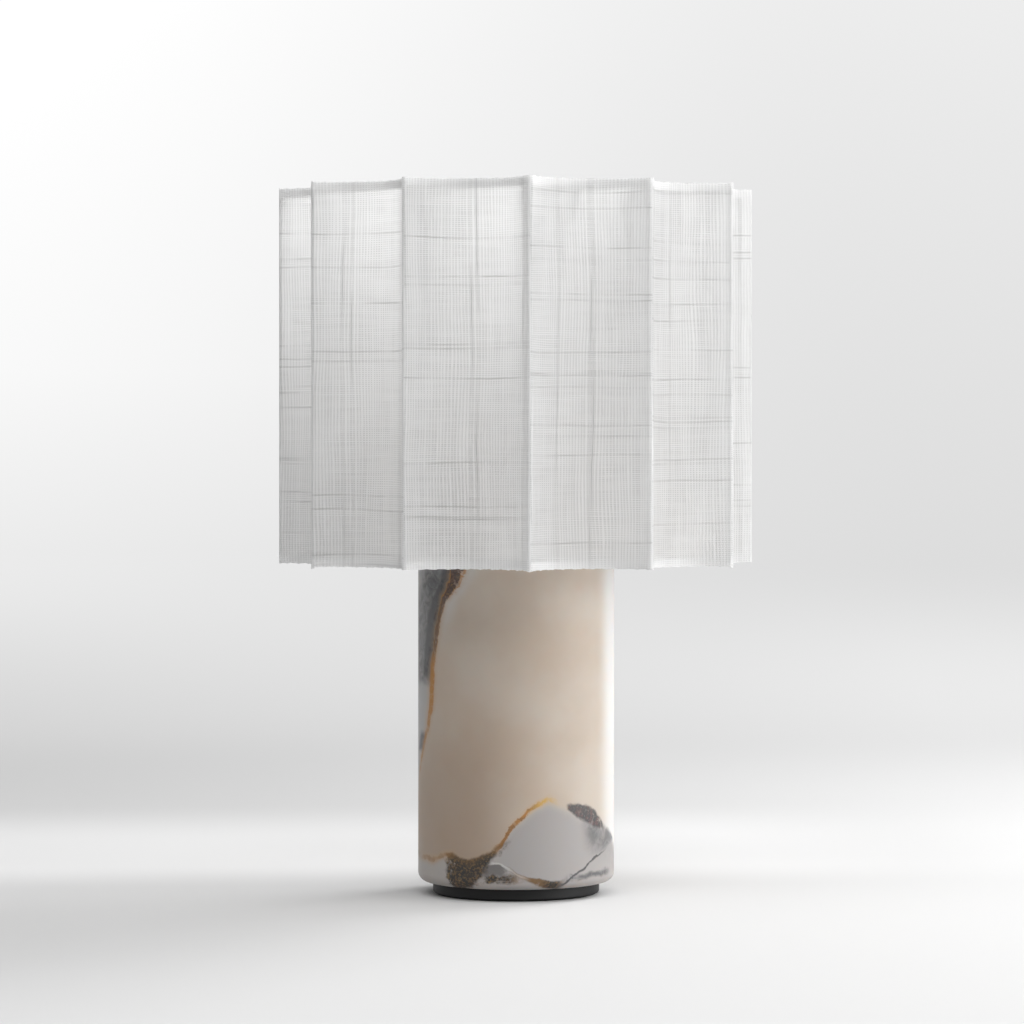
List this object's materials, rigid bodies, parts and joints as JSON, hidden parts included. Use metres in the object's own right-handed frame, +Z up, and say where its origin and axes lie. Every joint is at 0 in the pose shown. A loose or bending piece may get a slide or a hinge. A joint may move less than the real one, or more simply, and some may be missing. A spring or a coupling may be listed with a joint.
{
  "type": "table lamp",
  "caption": "Table lamp with a round veined stone column on a black disc foot and a white linen drum shade pulled into concave flutes with sharp ridges.",
  "frame": {"origin": "on the lamp's axis, in the plane of the felt pad's underside, where the lamp stands", "axes": "+Z up along the stone column; -Y towards the viewer, with a ridge of the shade and the switch knob on it and the cord inlet at +Y"},
  "size_m": [0.302, 0.302, 0.4485],
  "materials": {
    "felt": "pressed wool felt, self-adhesive",
    "black_lacquer": "satin black powder coat on turned steel",
    "zinc_steel": "zinc-plated steel",
    "satin_brass": "satin turned brass",
    "contact_brass": "bright stamped brass",
    "veined_marble": "honed and polished veined marble",
    "black_rubber": "moulded rubber",
    "white_enamel": "white powder coat on steel wire and strip",
    "white_linen": "open plain-weave slubbed linen",
    "liner_card": "pressed insulating card",
    "black_phenolic": "moulded phenolic",
    "plated_steel": "nickel-plated steel",
    "bulb_cap_metal": "rolled aluminium screw cap",
    "vitrite": "black glass insulator",
    "opal_glass": "opal blown glass",
    "clear_glass": "clear pressed glass",
    "filament_coat": "yellow phosphor coat on ceramic strip"
  },
  "bodies": {
    "base": {"foot_pad": "felt", "foot_plate": "black_lacquer", "foot_screws": "zinc_steel", "foot_inserts": "contact_brass", "stone_column": "veined_marble", "cord_grommet": "black_rubber", "clamp_washer": "zinc_steel", "clamp_nut": "zinc_steel", "threaded_tube": "zinc_steel", "column_cap": "satin_brass", "harp_saddle": "satin_brass", "saddle_nut": "satin_brass", "holder_cup": "satin_brass", "holder_shell": "satin_brass", "holder_liner": "liner_card", "holder_core": "black_phenolic", "screw_shell": "contact_brass", "centre_contact": "contact_brass", "terminal_screws": "contact_brass"},
    "switch": {"switch_shaft": "plated_steel", "switch_knob": "black_phenolic"},
    "harp": {"harp_bow": "satin_brass"},
    "left_sleeve": {"sleeve_left": "satin_brass"},
    "right_sleeve": {"sleeve_right": "satin_brass"},
    "swivel": {"swivel_stud": "satin_brass"},
    "shade": {"spider_hub": "white_enamel", "spider_arms": "white_enamel", "shade_top_ring": "white_enamel", "shade_bottom_ring": "white_enamel", "shade_ribs": "white_enamel", "linen_panel_01": "white_linen", "linen_panel_02": "white_linen", "linen_panel_03": "white_linen", "linen_panel_04": "white_linen", "linen_panel_05": "white_linen", "linen_panel_06": "white_linen", "linen_panel_07": "white_linen", "linen_panel_08": "white_linen", "linen_panel_09": "white_linen", "linen_panel_10": "white_linen", "linen_panel_11": "white_linen", "linen_panel_12": "white_linen"},
    "finial_core": {"finial_insert": "satin_brass"},
    "finial": {"finial_knob": "black_lacquer"},
    "bulb_core": {"bulb_contact": "plated_steel"},
    "bulb": {"bulb_glaze": "vitrite", "bulb_cap": "bulb_cap_metal", "bulb_glass": "opal_glass", "bulb_stem": "clear_glass", "bulb_filaments": "filament_coat"}
  },
  "joints": [
    {"name": "switch_turn", "type": "hinge", "parent": "base", "child": "switch", "pos_m": [0, 0, 0.2595], "axis": [0, -1, 0], "continuous": true},
    {"name": "harp_lift", "type": "slide", "parent": "base", "child": "harp", "axis": [0, 0, 1], "range_m": [0, 0.02]},
    {"name": "left_sleeve_slide", "type": "slide", "parent": "harp", "child": "left_sleeve", "axis": [0, 0, 1], "range_m": [0, 0.0145]},
    {"name": "right_sleeve_slide", "type": "slide", "parent": "harp", "child": "right_sleeve", "axis": [0, 0, 1], "range_m": [0, 0.0145]},
    {"name": "shade_turn", "type": "hinge", "parent": "harp", "child": "swivel", "pos_m": [0, 0, 0.42], "axis": [0, 0, 1], "continuous": true},
    {"name": "shade_lift", "type": "slide", "parent": "swivel", "child": "shade", "axis": [0, 0, 1], "range_m": [0, 0.25]},
    {"name": "finial_rise", "type": "slide", "parent": "shade", "child": "finial_core", "axis": [0, 0, 1], "range_m": [0, 0.0076]},
    {"name": "finial_turn", "type": "hinge", "parent": "finial_core", "child": "finial", "pos_m": [0, 0, 0.426], "axis": [0, 0, 1], "range_deg": [0, 2880]},
    {"name": "bulb_rise", "type": "slide", "parent": "base", "child": "bulb_core", "axis": [0, 0, 1], "range_m": [0, 0.0146]},
    {"name": "bulb_turn", "type": "hinge", "parent": "bulb_core", "child": "bulb", "pos_m": [0, 0, 0.29], "axis": [0, 0, 1], "range_deg": [0, 1440]}
  ],
  "couplings": [
    {"joint": "finial_rise", "follows": "finial_turn", "m_per_rad": 0.00014972},
    {"joint": "bulb_rise", "follows": "bulb_turn", "m_per_rad": 0.00057757}
  ]
}
